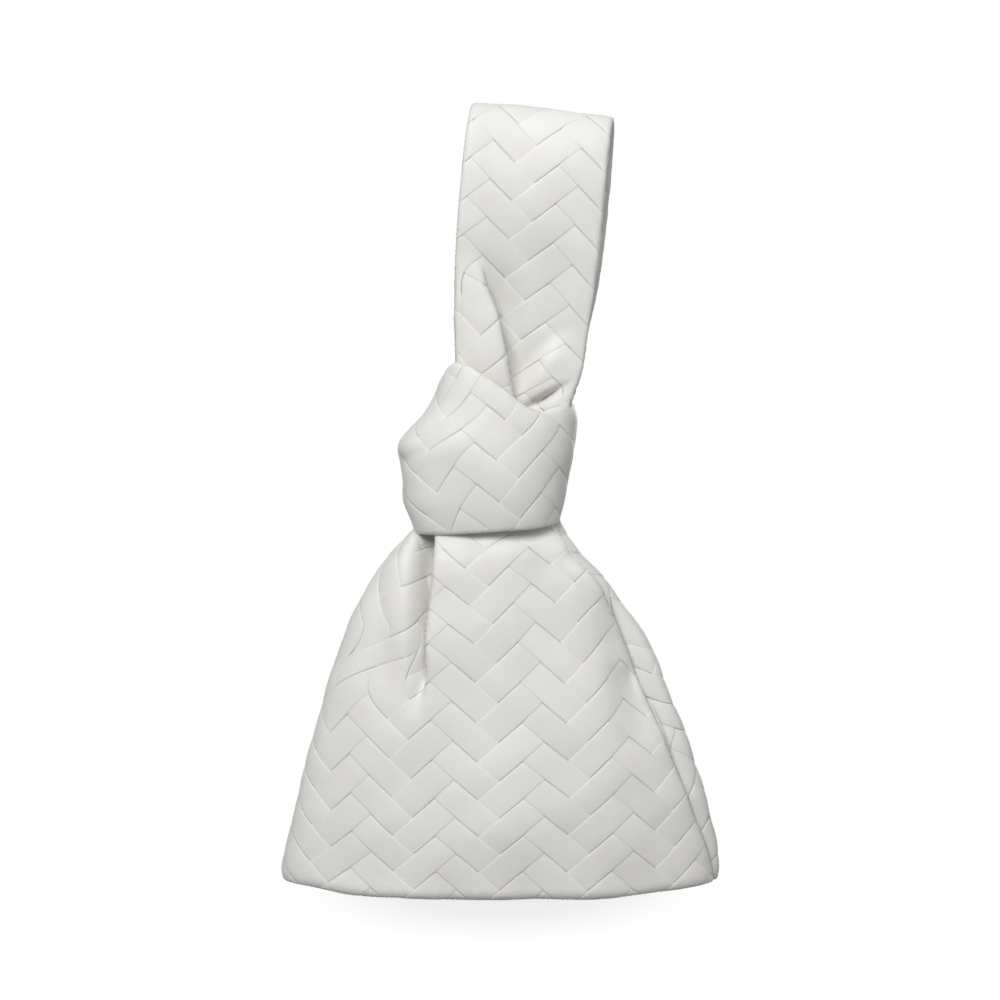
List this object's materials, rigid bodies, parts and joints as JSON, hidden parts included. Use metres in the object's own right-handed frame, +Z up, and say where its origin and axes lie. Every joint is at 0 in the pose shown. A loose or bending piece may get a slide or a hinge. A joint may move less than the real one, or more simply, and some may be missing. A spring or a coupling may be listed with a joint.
{
  "type": "top handle bag",
  "caption": "Soft plaited leather pouch gathered through a sliding knot band into a wide top handle loop, with mouth slits at the shoulders.",
  "frame": {"origin": "on the floor under the middle of the bag's base", "axes": "+Z up towards the handle, -Y towards the front, +X to the right as seen from the front"},
  "size_m": [0.2098, 0.068, 0.3797],
  "materials": {
    "woven_leather": "satin",
    "plain_leather": "satin",
    "lining": "suede",
    "board": "matt",
    "tape": "matt"
  },
  "bodies": {
    "pouch": {"front_panel": "woven_leather", "back_panel": "woven_leather", "base_panel": "woven_leather", "base_board": "board", "front_lining": "lining", "back_lining": "lining", "base_lining": "lining", "left_seam_binding": "plain_leather", "right_seam_binding": "plain_leather", "left_mouth_edge": "plain_leather", "right_mouth_edge": "plain_leather", "front_strap_root": "woven_leather", "back_strap_root": "woven_leather"},
    "knot": {"knot_band": "woven_leather", "knot_lining": "lining"},
    "handle": {"handle_strap": "woven_leather", "handle_tape": "tape", "handle_lining": "lining"}
  },
  "joints": [
    {"name": "handle_swing", "type": "hinge", "parent": "pouch", "child": "handle", "pos_m": [0.011, 0, 0.275], "axis": [0.9962, 0, -0.0872], "range_deg": [-80, 80]},
    {"name": "knot_slide", "type": "slide", "parent": "pouch", "child": "knot", "axis": [0.2419, 0, 0.9703], "range_m": [0, 0.012]}
  ]
}
